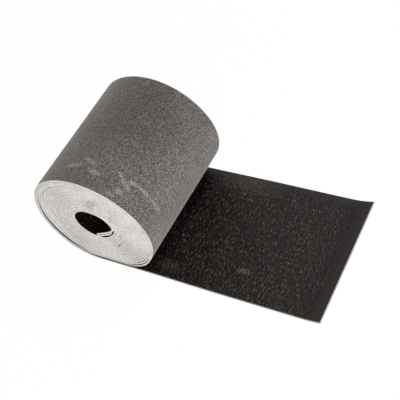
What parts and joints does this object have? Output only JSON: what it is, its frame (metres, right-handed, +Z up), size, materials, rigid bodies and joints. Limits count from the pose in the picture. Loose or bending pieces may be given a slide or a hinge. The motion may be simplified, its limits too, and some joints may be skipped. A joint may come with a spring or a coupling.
{
  "type": "roll of roofing felt",
  "caption": "Roll of roofing felt with an open bore, its grey sanded face outside, and its free end laid out flat on the floor to show the black film face.",
  "frame": {"origin": "on the floor below the roll's axis, at the middle of the sheet's width", "axes": "+X along the laid-out end, +Y along the roll's axis, +Z up"},
  "size_m": [0.4972, 0.24, 0.2125],
  "materials": {
    "felt": "matte sanded outside, black film inside, pale cut edges"
  },
  "bodies": {
    "root": {"felt_roll": "felt"}
  },
  "joints": []
}
